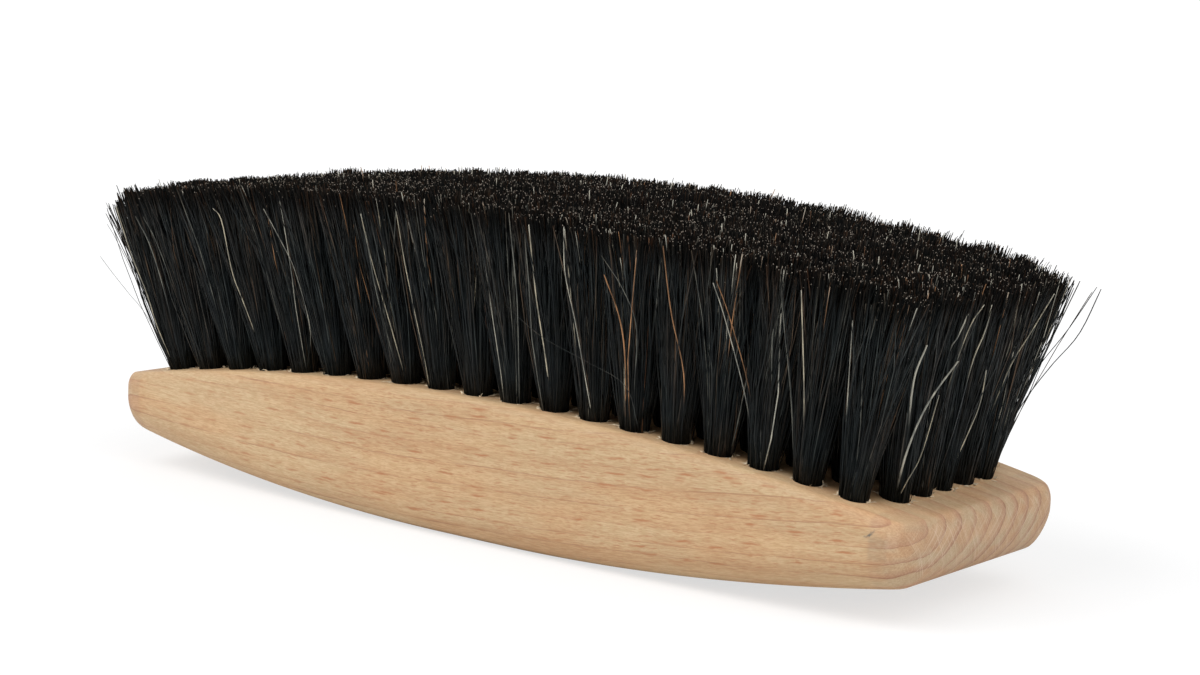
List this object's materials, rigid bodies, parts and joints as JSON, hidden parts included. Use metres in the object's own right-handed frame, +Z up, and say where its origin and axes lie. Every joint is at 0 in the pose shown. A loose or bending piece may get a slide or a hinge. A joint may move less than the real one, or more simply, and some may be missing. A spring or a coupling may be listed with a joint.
{
  "type": "shoe brush",
  "caption": "Shoe brush: an oiled beech block with an arched face and domed back, filled with dark horsehair tufts in ranks, lying on its back.",
  "frame": {"origin": "middle of the level land on the back of the block, which the brush lies on with its bristles up", "axes": "+X along the block, +Y across it, +Z up out of the bristles"},
  "size_m": [0.19, 0.0748, 0.0649],
  "materials": {
    "beech": "sanded and lightly oiled",
    "horsehair": "natural hair with a soft sheen"
  },
  "bodies": {
    "root": {"block": "beech", "tuft_rank_01": "horsehair", "tuft_rank_02": "horsehair", "tuft_rank_03": "horsehair", "tuft_rank_04": "horsehair", "tuft_rank_05": "horsehair", "tuft_rank_06": "horsehair", "tuft_rank_07": "horsehair", "tuft_rank_08": "horsehair", "tuft_rank_09": "horsehair", "tuft_rank_10": "horsehair", "tuft_rank_11": "horsehair", "tuft_rank_12": "horsehair", "tuft_rank_13": "horsehair", "tuft_rank_14": "horsehair", "tuft_rank_15": "horsehair", "tuft_rank_16": "horsehair", "tuft_rank_17": "horsehair", "tuft_rank_18": "horsehair", "tuft_rank_19": "horsehair"}
  },
  "joints": []
}
